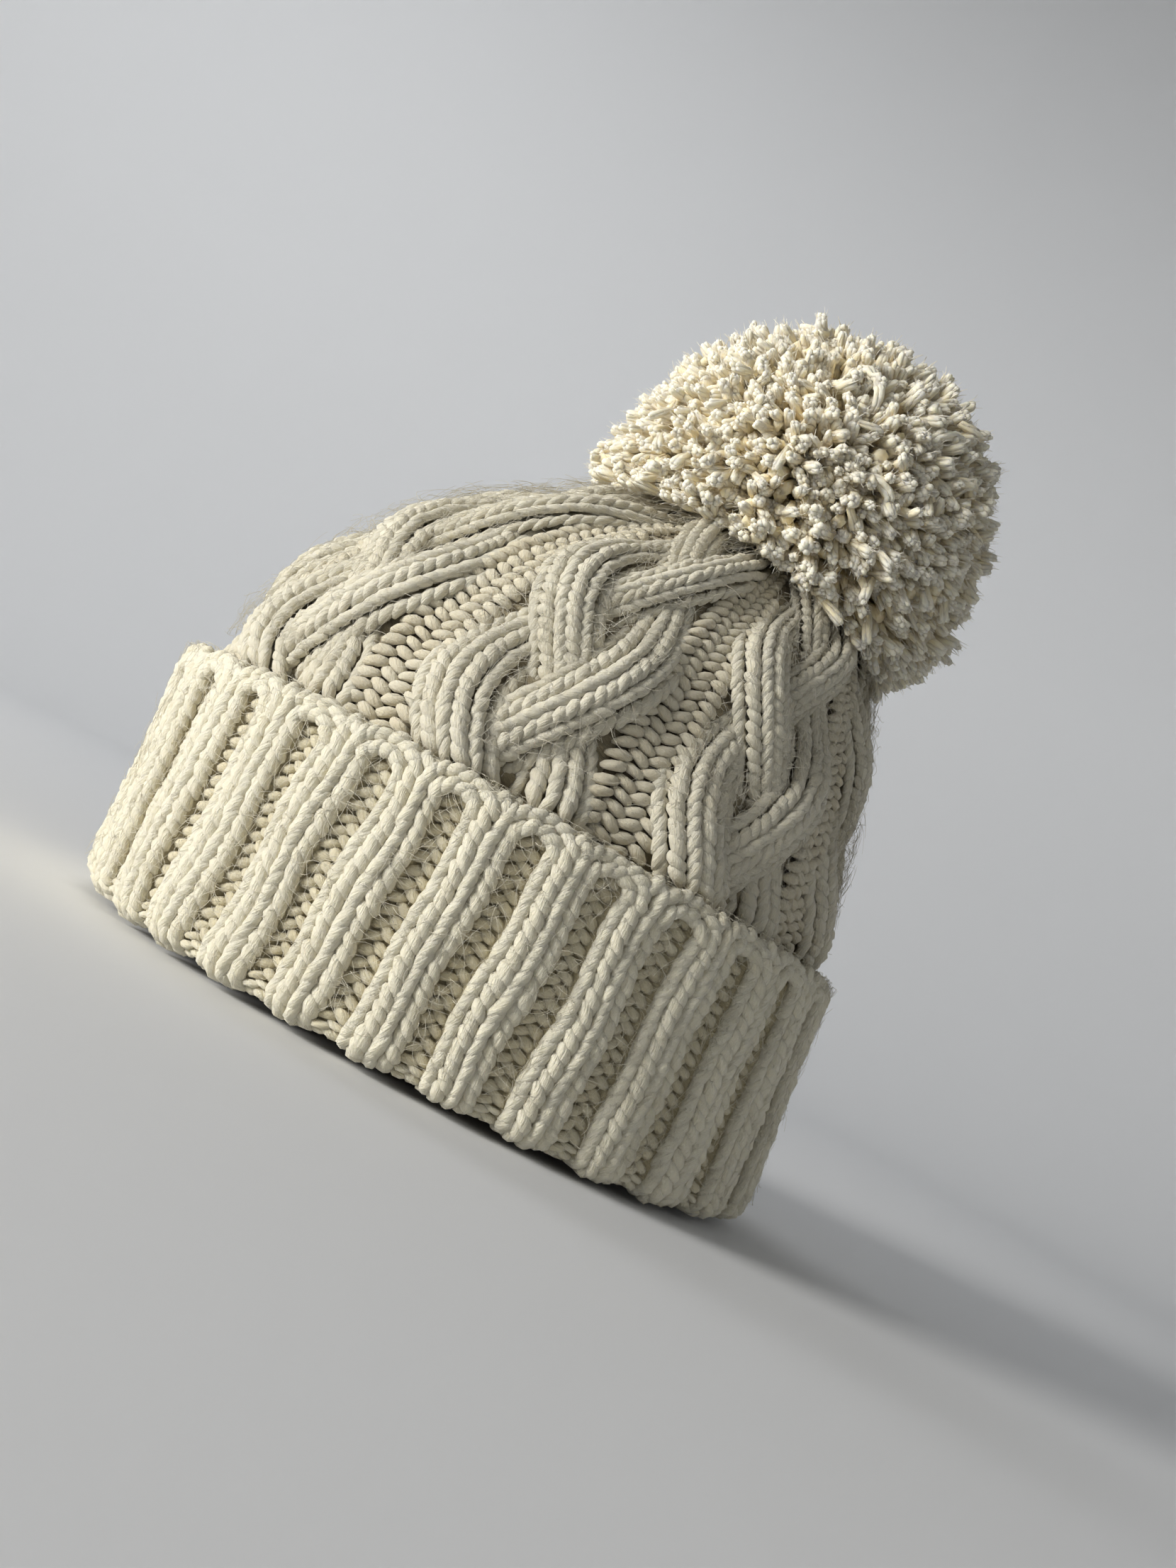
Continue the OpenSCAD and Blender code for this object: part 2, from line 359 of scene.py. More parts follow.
def knit_legs(yarn, centre, heading, beaded, wide, high, sides, place, slope=0.0, side=1, crisp=0.0):
    """One leg of each knit stitch: it lies sleek along its column, or shows as a slanted bead.

    side is -1 on the side of the fabric that faces the head, and crisp parts the sleek legs more.
    """
    if beaded:
        length, tilt, dip, fat = 7.6, math.radians(-29), 1.25, BEAD_FAT
    else:
        length, tilt, dip = 8.2, math.radians(10 + 5 * crisp), 0.85 + 0.25 * crisp
        fat = SLEEK_FAT + 0.5 * crisp * (BEAD_FAT - SLEEK_FAT)
        wide, high = wide * 0.93, high * 0.93
    angle = heading + tilt
    way = np.stack([np.sin(angle), np.cos(angle)], -1)
    beads(yarn, centre, way, length, wide, high, side * dip, sides, place, slope, fat=fat)


def fluff(yarn, number, low, high, place, length=(5.0, 13.0), rise=(0.6, 3.4)):
    """Loose fibres that stand off the yarn, between two corners of a chart."""
    start = rng.uniform(low, high, (number, 3))
    t = np.linspace(0, 1, 6)
    angle = rng.uniform(0, 2 * math.pi, (number, 1)) + rng.normal(0, 1.3, (number, 1)) * t
    pace = rng.uniform(*length, (number, 1)) / 5 * np.minimum(t * 6, 1)
    path = np.repeat(start[:, None], 6, 1)
    path[..., 0] += np.cumsum(pace * np.cos(angle), 1)
    path[..., 1] += np.cumsum(pace * np.sin(angle), 1)
    path[..., 1] = np.clip(path[..., 1], low[1], high[1])
    path[..., 2] += rng.uniform(*rise, (number, 1)) * t ** 0.8 * (1.25 - 0.45 * t)
    thin = rng.uniform(0.045, 0.08, (number, 1)) * (1.1 - 0.5 * t)
    yarn.tubes(path, thin, thin, 3, place, painted_shade=0.15, ply=0.0)


# ---------------------------------------------------------------- materials

def node_of(tree, kind, **values):
    """A new node with some of its settings."""
    node = tree.nodes.new(kind)
    for key, value in values.items():
        setattr(node, key, value)
    return node


# The last stop of every wool's ramp: the painted shadow between yarns
PAINTED_HOLLOW_SHADOW = (0.10, 0.075, 0.045)


def yarn_material(name, light, shade, streak=1.0, soft=0.15, sheen=0.35):
    """Soft-spun wool: fibres twisted along the yarn, mottled cream, with painted shade, yellower and
    darker, where the yarn lies low.
    """
    material = bpy.data.materials.new(name)
    material.use_nodes = True
    tree = material.node_tree
    tree.nodes.clear()
    link = tree.links.new
    out = node_of(tree, "ShaderNodeOutputMaterial")
    shader = node_of(tree, "ShaderNodeBsdfPrincipled")
    link(shader.outputs["BSDF"], out.inputs["Surface"])
    shader.inputs["Roughness"].default_value = 0.85
    shader.inputs["Specular IOR Level"].default_value = 0.25
    shader.inputs["Sheen Weight"].default_value = sheen
    shader.inputs["Sheen Roughness"].default_value = 0.5
    shader.inputs["Sheen Tint"].default_value = (1.0, 0.97, 0.9, 1)
    shader.inputs["Subsurface Weight"].default_value = soft
    shader.inputs["Subsurface Radius"].default_value = (1.0, 0.8, 0.45)
    shader.inputs["Subsurface Scale"].default_value = 0.0025

    uv = node_of(tree, "ShaderNodeUVMap", uv_map="yarn")
    twist = node_of(tree, "ShaderNodeMapping")
    twist.inputs["Rotation"].default_value = (0, 0, math.radians(24))
    link(uv.outputs["UV"], twist.inputs["Vector"])
    stretch = node_of(tree, "ShaderNodeMapping")
    stretch.inputs["Scale"].default_value = (2.4, 17.0, 1.0)
    link(twist.outputs["Vector"], stretch.inputs["Vector"])
    fibres = node_of(tree, "ShaderNodeTexNoise", noise_dimensions="2D")
    fibres.inputs["Scale"].default_value = 1.0
    fibres.inputs["Detail"].default_value = 4.0
    fibres.inputs["Roughness"].default_value = 0.62
    link(stretch.outputs["Vector"], fibres.inputs["Vector"])

    place = node_of(tree, "ShaderNodeTexCoord")
    down = node_of(tree, "ShaderNodeTexNoise")
    down.inputs["Scale"].default_value = 1400.0
    down.inputs["Detail"].default_value = 3.0
    down.inputs["Roughness"].default_value = 0.7
    link(place.outputs["Object"], down.inputs["Vector"])
    cloud = node_of(tree, "ShaderNodeTexNoise")
    cloud.inputs["Scale"].default_value = 55.0
    cloud.inputs["Detail"].default_value = 3.0
    link(place.outputs["Object"], cloud.inputs["Vector"])

    height = node_of(tree, "ShaderNodeMath", operation="MULTIPLY_ADD")
    link(down.outputs["Fac"], height.inputs[0])
    height.inputs[1].default_value = 0.55
    link(fibres.outputs["Fac"], height.inputs[2])
    bump = node_of(tree, "ShaderNodeBump")
    bump.inputs["Strength"].default_value = 0.75 * streak
    bump.inputs["Distance"].default_value = 0.0009
    link(height.outputs["Value"], bump.inputs["Height"])
    link(bump.outputs["Normal"], shader.inputs["Normal"])

    tone = node_of(tree, "ShaderNodeAttribute", attribute_name="tone")
    painted_shade = node_of(tree, "ShaderNodeAttribute", attribute_name="painted_shade")
    spread = node_of(tree, "ShaderNodeMath", operation="MULTIPLY_ADD")
    link(tone.outputs["Fac"], spread.inputs[0])
    spread.inputs[1].default_value = 0.13
    link(painted_shade.outputs["Fac"], spread.inputs[2])
    mottle = node_of(tree, "ShaderNodeMath", operation="MULTIPLY_ADD")
    link(cloud.outputs["Fac"], mottle.inputs[0])
    mottle.inputs[1].default_value = 0.5
    link(spread.outputs["Value"], mottle.inputs[2])
    wisps = node_of(tree, "ShaderNodeMath", operation="MULTIPLY_ADD")
    link(fibres.outputs["Fac"], wisps.inputs[0])
    wisps.inputs[1].default_value = -0.55
    link(mottle.outputs["Value"], wisps.inputs[2])
    # The ramp paints shade: from the wool's colour in the light, through its shade colour, to the dark
    # painted shadow between yarns.
    ramp = node_of(tree, "ShaderNodeValToRGB")
    ramp.color_ramp.elements[0].position = 0.0
    ramp.color_ramp.elements[0].color = (*light, 1)
    ramp.color_ramp.elements[1].position = 0.5
    ramp.color_ramp.elements[1].color = (*shade, 1)
    ramp.color_ramp.elements.new(1.0).color = (*PAINTED_HOLLOW_SHADOW, 1)
    share = node_of(tree, "ShaderNodeMath", operation="MULTIPLY")
    link(wisps.outputs["Value"], share.inputs[0])
    share.inputs[1].default_value = 0.5
    link(share.outputs["Value"], ramp.inputs["Fac"])
    link(ramp.outputs["Color"], shader.inputs["Base Color"])
    return material


# The cable and purl wool is the rib wool made about a tenth darker: painted shade for the crown, whose
# yarn is the same wool.
cable_wool_painted_darker = yarn_material("cable_knit_wool_painted_darker", (0.72, 0.675, 0.54), (0.59, 0.515, 0.34))
purl_wool_painted_darker = yarn_material("purl_knit_wool_painted_darker", (0.72, 0.67, 0.53), (0.585, 0.51, 0.345))
rib_wool = yarn_material("rib_knit_wool", (0.81, 0.76, 0.60), (0.66, 0.58, 0.375))
tie_wool = yarn_material("tie_yarn_wool", (0.80, 0.75, 0.60), (0.66, 0.575, 0.38))
pompom_wool = yarn_material(
    "pompom_yarn_wool", (0.92, 0.855, 0.68), (0.87, 0.70, 0.40), streak=0.6, soft=0.45, sheen=0.12
)


# ---------------------------------------------------------------- cuff and brim

# Places of a rib's four legs, heights of the cuff's ribs and valleys, and where its edge lies
LEGS = np.array([-1.5, -0.5, 0.5, 1.5]) * LEG
CREST = 3.9
VALLEY = -1.6
EDGE = CUFF_TOP - TURN_LEVEL

# Half width and half height of a rib's legs and of a purl bump, and the bump's length and slant
RIB_LEG_WIDE, RIB_LEG_HIGH = 1.98, 1.88
BUMP_WIDE, BUMP_HIGH = 1.48, 1.4
BUMP_LENGTH, BUMP_SLANT = 6.1, math.radians(19)


def rib_round(u):
    """How far a leg of a rib sits back from the rib's crest."""
    return 1.0 * (u / (1.5 * LEG)) ** 2


def filled_out(w):
    """How much the valleys fill out where the fabric turns under."""
    return 2.5 * np.exp(-((w + TURN_LENGTH / 2) / 9.0) ** 2)


def rib_profile(crest, valley, fill=0.0):
    """Backing surface behind the ribs: high under a rib, low in a valley."""
    def profile(u, w):
        across = np.abs((u / RIB_PITCH + 0.5) % 1 - 0.5) * RIB_PITCH
        wall = np.clip((across - 6.0) / 2.4, 0, 1)
        low = np.minimum(valley + fill * filled_out(w), crest)
        return crest - (crest - low) * wall * wall * (3 - 2 * wall)
    return profile


def rib_legs(yarn, ribs, crest, low, high, place, sides, side=1):
    """The four legs of some ribs; high holds the top of each leg."""
    for leg, top in enumerate(np.broadcast_to(high, 4)):
        w = np.arange(math.ceil(low / ROW), top / ROW) * ROW
        u, level = np.meshgrid(np.asarray(ribs) * RIB_PITCH + LEGS[leg] * side, w, indexing="ij")
        height = np.full(u.shape, crest - side * (1.7 + rib_round(LEGS[leg])))
        centre = np.stack([u, level, height], -1).reshape(-1, 3)
        knit_legs(yarn, centre, np.zeros(len(centre)), leg % 2 == 1, RIB_LEG_WIDE, RIB_LEG_HIGH,
                  sides, place, side=side)


def valley_bumps(yarn, ribs, level, low, high, place, sides, side=1, painted_shade=0.55, fill=0.0):
    """The purl bumps beside some ribs: two columns of short beads that mesh like a zip, with painted
    shade for lying low in the valley.
    """
    for column in (-1, 1):
        w = (np.arange(math.ceil(low / ROW), high / ROW) + (0 if column < 0 else 0.5)) * ROW
        u, height = np.meshgrid((np.asarray(ribs) + 0.5) * RIB_PITCH + column * 1.85, w, indexing="ij")
        centre = np.stack([u, height, level + fill * filled_out(height)], -1).reshape(-1, 3)
        way = np.tile([math.cos(BUMP_SLANT), -column * math.sin(BUMP_SLANT)], (len(centre), 1))
        beads(yarn, centre, way, BUMP_LENGTH, BUMP_WIDE, BUMP_HIGH, side * 1.2, sides, place, painted_shade=painted_shade)


# Loops of the cast-on edge: the two legs they join, how far down they start, and their rise
LOOPS = (
    (LEGS[3], RIB_PITCH + LEGS[0], 8.6, 4.6),
    (LEGS[2], RIB_PITCH + LEGS[1], 6.0, 5.0),
    (LEGS[1], LEGS[2], 4.6, 2.6),
)


def edge_loops(yarn, ribs, place, sides):
    """The cast-on edge: nested loops join the ribs over every valley, with a cord behind them."""
    for left, right, down, rise in LOOPS:
        middle, reach = (left + right) / 2, (right - left) / 2
        number = round(math.pi * math.sqrt((reach ** 2 + rise ** 2) / 2) / 3.5)
        arch = math.pi * (np.arange(number) + 0.5) / number
        u, w = middle - reach * np.cos(arch), EDGE - down + rise * np.sin(arch)
        rolled = np.clip((w - EDGE + 6.0) / 6.0, 0, 1) ** 2
        n = CREST - 1.9 - 0.5 * np.sin(arch) - 1.8 * rolled
        angle = np.arctan2(rise * np.cos(arch), reach * np.sin(arch)) + math.radians(20)
        shake = rng.normal(0, 0.3, (len(ribs), 1))
        across, level = ribs[:, None] * RIB_PITCH + u + shake, w + 0.6 * shake
        centre = np.stack([across, level, np.broadcast_to(n, across.shape)], -1)
        way = np.broadcast_to(np.stack([np.cos(angle), np.sin(angle)], -1), centre[..., :2].shape)
        centre, way = centre.reshape(-1, 3), way.reshape(-1, 2)
        beads(yarn, centre, way, 7.0, 1.9, 1.85, 0.9, sides, place, painted_shade=0.05)
    along = np.arange(0, RIM_LENGTH + 2, 2.0)
    for down, height in ((1.9, -0.6), (3.4, -2.0)):
        level = EDGE - down + 0.35 * np.sin(along * 1.1)
        cord = np.stack([along, level, np.full(len(along), height)], -1)
        yarn.tubes(cord[None], 1.7, 1.7, sides, place, painted_shade=0.2, ply=0.13)


def build_cuff():
    """The cuff in four quarters, the fold at the rim and the cast-on edge along the top."""
    share = RIBS // 4
    tops = EDGE - np.array([7.4, 5.4, 5.4, 7.4])
    per_rib = 16
    for quarter, name in enumerate(("front", "left", "back", "right")):
        first = (quarter - 1) * share - share // 2
        ribs = (np.arange(share) + first) % RIBS
        yarn = Yarn()
        rib_legs(yarn, ribs, CREST, 0.0, tops, cuff_surface, 10)
        valley_bumps(yarn, ribs, VALLEY, 0.0, EDGE - 6.5, cuff_surface, 8, fill=1.0)
        u = (first + np.linspace(0, share, share * per_rib + 1)) * RIB_PITCH
        # The backing behind the stitches is painted a little darker than the wool's shade colour, as the
        # shade between them.
        yarn.slab(u, np.linspace(-0.5, EDGE - 4.0, 22), rib_profile(1.3, -2.7, 0.8),
                  even(-3.1), cuff_surface, 1.15)
        fluff(yarn, 1500, np.array([first * RIB_PITCH, 0.5, 0.5]),
              np.array([(first + share) * RIB_PITCH, EDGE, CREST - 0.8]), cuff_surface)
        nodes = ("cuff_panel",) if quarter == 0 else ()
        yarn.piece("cuff_ribs_" + name, "cuff", "rib_knit", rib_wool, nodes)

    everywhere = np.arange(RIBS)
    around = np.linspace(0, RIM_LENGTH, RIBS * per_rib + 1)
    fold = Yarn()
    low = -TURN_LENGTH - 1.0
    rib_legs(fold, everywhere, CREST, low, 0.0, cuff_surface, 8)
    valley_bumps(fold, everywhere, VALLEY, low + 1.0, 0.0, cuff_surface, 8, painted_shade=0.3, fill=1.0)
    # Its backing too is painted in the wool's shade colour, as the shade between the stitches.
    fold.slab(around, np.linspace(low, 0.0, 14), rib_profile(1.5, -2.7, 1.0),
              even(-2.9), cuff_surface, 1.1, True)
    fold.piece("cuff_rim_fold", "cuff", "rib_knit", rib_wool, ("cuff_fold",))

    edge = Yarn()
    edge_loops(edge, everywhere, cuff_surface, 9)
    # The backing behind the edge loops is painted nearly in the wool's shade colour, as shade.
    edge.slab(around, np.linspace(EDGE - 4.0, EDGE - 1.6, 4), rib_profile(0.4, -0.6),
              even(-3.1), cuff_surface, 0.9, True)
    fluff(edge, 1500, np.array([0, EDGE - 3.0, -1.0]), np.array([RIM_LENGTH, EDGE + 1.5, 1.6]),
          cuff_surface, (4.0, 9.0), (0.5, 2.0))
    edge.piece("cuff_cast_on_edge", "cuff", "rib_knit", rib_wool, ("cuff_edge",))


def build_brim():
    """The rib layer under the cuff: its outer face, and the face that lies on the head."""
    everywhere = np.arange(RIBS)
    low, high = TURN_LEVEL + 1.0, CROWN_BASE - 2.5
    around = np.linspace(0, RIM_LENGTH, RIBS * 10 + 1)
    outer = Yarn()
    rib_legs(outer, everywhere, 6.6, low, high, brim_surface, 5)
    valley_bumps(outer, everywhere, 3.9, low, high, brim_surface, 5)
    # The backing is painted in the wool's shade colour, as the shade between the stitches.
    outer.slab(around, np.linspace(low, high + 2, 16), rib_profile(4.8, 3.0),
               even(1.6), brim_surface, 1.1, True)
    outer.piece("brim_outer_face", "hat", "rib_knit", rib_wool, ("brim_inner",))
    inner = Yarn()
    rib_legs(inner, everywhere, 0.1, low, high, brim_surface, 5, -1)
    valley_bumps(inner, everywhere, 2.4, low, high, brim_surface, 5, -1, 0.5)
    inner.piece("brim_head_face", "hat", "rib_knit", rib_wool)


# ---------------------------------------------------------------- crown

# A plait: its shift from the middle of its section, how far its strands swing, where they first
# cross and how often, and the height of the crossings over the strands' middle level
PLAIT_SHIFT = 2.8
SWING = 20.2
FIRST_CROSSING = 28.0
CROSSING = 26.5
RELIEF = 3.3
STRAND_LEVEL = -2.4

# Distance between a strand's legs where it crosses and where it turns back, and their half size
STRAND_LEG, LOBE_LEG = 4.2, 4.75
LEG_WIDE, LEG_HIGH = 2.12, 1.95

# Heights of the purl panels and of the crown's inside, and the width of a stitch there
GUTTER_LEVEL = -6.1
LINING = -9.0
STITCH = CROWN_LENGTH / 112


def smoothstep(x):
    """From 0 to 1 with soft ends."""
    x = np.clip(x, 0, 1)
    return x * x * (3 - 2 * x)


def strand_tracks():
    """Middle line, heading, height and leg pitch of the three strands of a plait, up the crown.

    A strand swings from side to side once in six crossings, over its neighbour on the way out
    and under it on the way in.
    """
    v = np.arange(-2.0, CROWN_END, 0.5)
    tracks = []
    for k in range(3):
        turn = math.radians(30 + 120 * k) + (v - FIRST_CROSSING) * math.pi / (3 * CROSSING)
        across = SWING * np.sin(turn)
        pitch = STRAND_LEG + (LOBE_LEG - STRAND_LEG) * np.sin(turn) ** 2
        heading = np.arctan(np.gradient(across, v))
        height = RELIEF * np.sin(2 * turn)
        length = np.concatenate([[0], np.cumsum(np.hypot(np.diff(across), 0.5))])
        tracks.append((v, across, heading, height, pitch, length))
    return tracks


def strand_leg(track, at, leg):
    """One of a strand's six legs: its place in the crown chart, heading, and how far the strand has
    been narrowed: towards the peak the outer legs sink and the four others close up."""
    v, across, heading, height, pitch = [np.interp(at, track[-1], x) for x in track[:-1]]
    narrowed = smoothstep((v - 86.0) / 28.0)
    wide, narrow = leg - 2.5, (-2.3, -2.05, -0.7, 0.7, 2.05, 2.3)[leg]
    a = pitch * (wide + (narrow - wide) * narrowed)
    level = STRAND_LEVEL + height - 3.6 * (a / 10.5) ** 2
    if leg in (0, 5):
        level = level - 2.6 * narrowed
    return across + a, v, level, heading, narrowed


def build_braid(number, tracks):
    """A plait of three strands of six legs, over the wrong side of the knitting."""
    middle = (FIRST_PANEL + CABLE_STEP * (number - 0.5)) * CROWN_LENGTH / 360
    yarn = Yarn()
    for track in tracks:
        rows = np.arange(1.5, track[-1][-1] - 2, ROW)
        shift = rng.normal(0, 0.25)
        for leg in range(6):
            u, v, level, heading, narrowed = strand_leg(track, rows, leg)
            wide = LEG_WIDE * (1 + 0.38 * narrowed) * np.cos(heading) ** 0.7
            high = LEG_HIGH * np.clip(wide / LEG_WIDE * np.cos(crown_latitude(v)) / FULL_YARN, 0.5, 1.05)
            slope = np.gradient(level, ROW)
            keep = v > -0.5
            centre = np.stack([middle + PLAIT_SHIFT + u + shift, v, level], -1)[keep]
            knit_legs(yarn, centre, heading[keep], leg % 2 == 1, wide[keep], high[keep], 8,
                      crown_surface, slope[keep], crisp=1.0)
    half = CABLE_WIDTH / 2 * CROWN_LENGTH / 360
    u = np.linspace(middle - half, middle + half, 49)
    v = np.linspace(-1.5, CROWN_END, 140)
    # The slab, backing and inside lining, is painted halfway from the wool's shade colour to the dark
    # painted shadow, as the shade under the strands.
    yarn.slab(u, v, lambda a, b: -7.2 + 0.4 * np.sin(b * 2 * math.pi / ROW), lining_relief,
              crown_surface, 1.5)
    fluff(yarn, 1000, np.array([middle - 28, 8.0, -3.0]), np.array([middle + 28, 118.0, 1.5]),
          crown_surface)
    node = "cable_braid_%d" % number
    yarn.piece("cable_braid_yarn_%d" % number, "hat", "cable_knit", cable_wool_painted_darker, (node,))


def lining_relief(u, v):
    """The wrong side of the knitting, seen inside the hat: rows of wavy ridges."""
    wave = 0.28 * np.sin(2 * math.pi * u / STITCH)
    return LINING - 0.6 * np.sin(2 * math.pi * (v / ROW + wave)) * yarn_scale(v)


def build_gutter(number):
    """A purl panel: rungs of yarn, lightly painted with shade, that mesh like a zip, with gaps at the
    cables' sides whose backing is painted dark as shade.
    """
    middle = (FIRST_PANEL + CABLE_STEP * number) * CROWN_LENGTH / 360
    half = (CABLE_STEP - CABLE_WIDTH) / 2 * CROWN_LENGTH / 360
    yarn = Yarn()
    for column, offset in enumerate((-8.7, -2.9, 2.9, 8.7)):
        last = CROWN_END - 3 if abs(offset) < 5 else 100.0
        rows = np.arange(1.0 + (column % 2) * ROW / 2, last, ROW)
        across = np.full(len(rows), middle + PLAIT_SHIFT + offset)
        level = np.full(len(rows), GUTTER_LEVEL + 0.012 * offset ** 2)
        centre = np.stack([across, rows, level], -1)
        slope = math.radians(-16 if column % 2 else 16)
        way = np.tile([math.cos(slope), math.sin(slope)], (len(rows), 1))
        scale = np.clip(yarn_scale(rows), 0.55, 1)
        beads(yarn, centre, way, 7.8, 1.6, 1.6 * scale, 1.2 * scale, 8, crown_surface, painted_shade=0.3)
    u = np.linspace(middle - half, middle + half, 13)
    v = np.linspace(-1.5, CROWN_END, 140)
    # The backing and lining here are painted nearly as dark as the painted shadow between yarns, so the
    # gaps show dark.
    yarn.slab(u, v, even(-7.7), lining_relief, crown_surface, 1.9)
    node = "purl_panel_%d" % number
    yarn.piece("purl_panel_yarn_%d" % number, "hat", "purl_knit", purl_wool_painted_darker, (node,))


# ---------------------------------------------------------------- pompom and ties

# The ball of the pompom, a little longer one way than across it
BALL = np.array([0.0, CROWN_FORWARD + 33.0, 200.5])
BALL_RADIUS = 56.5
BALL_STRETCH = 3.5
BALL_LONG_WAY = np.array([0.0, 0.8824, 0.4706])

# Directions from which the cut yarns are drawn, and the share of the ball's radius that the
# yarns inside it reach
OUTER_YARNS, INNER_YARNS, FILLING_YARNS = 3700, 2500, 1900
INNER_REACH = 0.9
TUFTS = 520

# Highest middle line of a yarn, and the gaps from the crown to a yarn and to where yarns are kept
POMPOM_TOP = 256.5
CROWN_GAP, FLOOR_GAP = 0.5, 1.5

# A way that few yarns run, to turn their sections by
ACROSS_YARN = np.array([0.3, 0.2, 0.93])
PLIES = 4
END_FIBRES = 5
STRAYS, STRAY_RINGS, STRAY_PLIES = 7, 11, 3

# The skirt: yarns whose tips hang below its level, or that the tilted and turned ball would
# push into the crown. It overlaps the ball by some yarns, so that no gap shows between them.
SKIRT_LEVEL = 190.0
SKIRT_OVERLAP = 13.0
TILT, TURN = math.tan(math.radians(15)), math.radians(60)

# Radius, bottom and top of the rough hearts that stop the view between the yarns
BALL_HEART = (45.0, 197.0, 260.0)
SKIRT_HEART = (40.0, 174.0, 197.0)


def pompom_floor(x, y):
    """The lowest level that the pompom's yarns hang to: low at the back, high at the front."""
    back = y - POMPOM_AXIS
    droop = 171.5 - 0.12 * back - 0.16 * np.maximum(back, 0)
    return np.maximum(droop, crown_height(x, y) + FLOOR_GAP)


def ball_directions(number):
    """Even directions over a sphere, slightly shaken."""
    index = np.arange(number) + 0.5
    polar = np.arccos(1 - 2 * index / number)
    around = math.pi * (1 + 5 ** 0.5) * index
    way = np.stack([np.sin(polar) * np.cos(around), np.sin(polar) * np.sin(around), np.cos(polar)], -1)
    way += rng.normal(0, 0.035, way.shape)
    return way / np.linalg.norm(way, axis=1, keepdims=True)


def tufted(way):
    """The same directions, drawn together in loose tufts."""
    tufts = ball_directions(TUFTS)
    nearest = tufts[np.argmax(way @ tufts.T, 1)]
    way = way + rng.uniform(0.0, 0.12, (len(way), 1)) * (nearest - way)
    return way / np.linalg.norm(way, axis=1, keepdims=True)


def pompom_yarns(number, share_of_reach):
    """Middle lines, half thickness and painted shade of cut yarns that end at a share of the ball's
    radius.

    Yarns that would end in the crown are left out.
    """
    way = tufted(ball_directions(number))
    lobes = 1 + 0.022 * np.sin(5 * way[:, 0] + 3) * np.sin(6 * way[:, 2] + 1)
    lobes += rng.normal(0, 0.032, number)
    spread = 4.5 * np.clip(-way[:, 2] / 0.3, 0, 1)
    radius = BALL_RADIUS - 0.8 + BALL_STRETCH * (way @ BALL_LONG_WAY) ** 2 + spread
    reach = radius * lobes * share_of_reach
    end = BALL + way * reach[:, None]
    floor = pompom_floor(end[:, 0], end[:, 1]) + rng.uniform(-2.5, 2.5, number)
    keep = end[:, 2] > floor - 9.0
    end, floor, number = end[keep], floor[keep], int(keep.sum())
    root = np.array([0.0, POMPOM_AXIS, TIE_LEVEL]) + rng.normal(0, 1.5, (number, 3))
    bend = (root + end) / 2 + rng.normal(0, 3.4, (number, 3))
    bend[:, 2] += 0.07 * np.linalg.norm(end - root, axis=1)
    share = np.array([0.45, 0.68, 0.84, 0.94, 1.0])
    t = share[None, :, None]
    path = (1 - t) ** 2 * root[:, None] + 2 * t * (1 - t) * bend[:, None] + t ** 2 * end[:, None]
    path = path + rng.normal(0, 0.85, path.shape) * np.linspace(0.3, 1, len(share))[:, None]
    fat = np.array([0.72, 0.86, 0.96, 1.0, 1.0])
    thick = rng.uniform(1.4, 2.05, (number, 1)) * fat * (1 + rng.normal(0, 0.05, (number, len(fat))))
    path[..., 2] = np.clip(path[..., 2], floor[:, None] + thick * 0.6, POMPOM_TOP)
    on_crown = crown_height(path[..., 0], path[..., 1]) + CROWN_GAP + thick
    path[..., 2] = np.maximum(path[..., 2], on_crown)
    # Painted shade along each yarn: heaviest at its root inside the ball, none at its cut tip.
    painted_shade = np.broadcast_to(np.array([1.2, 1.05, 0.8, 0.45, 0.0]), thick.shape)
    return path, thick, painted_shade


def outward(path):
    """The way each yarn points at its tip, with two ways across it."""
    out = path[:, -1] - path[:, -2]
    out /= np.linalg.norm(out, axis=1, keepdims=True) + 1e-9
    first = np.cross(out, ACROSS_YARN)
    first /= np.linalg.norm(first, axis=1, keepdims=True) + 1e-9
    return out, first, np.cross(first, out)


def parted_plies(path, thick):
    """The plies that part at the cut end of every yarn."""
    way = [w[:, None, None] for w in outward(path)]
    number = len(path)
    back = np.array([-8.0, -3.2, -0.9, 0.0])
    start = 2 * math.pi * np.arange(PLIES) / PLIES + rng.uniform(0, 2 * math.pi, (number, 1))
    angle = start[..., None] + 0.14 * back
    wide = thick[:, -1][:, None, None]
    apart = wide * np.array([0.28, 0.38, 0.42, 0.42])
    uneven = rng.uniform(-1.2, 0.6, (number, PLIES, 1)) * np.array([0, 0.3, 0.9, 1.0])
    ply = (
        path[:, -1][:, None, None] + way[0] * (back + uneven)[..., None]
        + way[1] * (apart * np.cos(angle))[..., None] + way[2] * (apart * np.sin(angle))[..., None]
    ).reshape(-1, len(back), 3)
    plump = np.broadcast_to(wide * np.array([0.56, 0.68, 0.64, 0.36]), angle.shape).reshape(-1, len(back))
    on_crown = crown_height(ply[..., 0], ply[..., 1]) + CROWN_GAP + plump
    ply[..., 2] = np.clip(np.maximum(ply[..., 2], on_crown), None, POMPOM_TOP + 0.5)
    return ply, plump


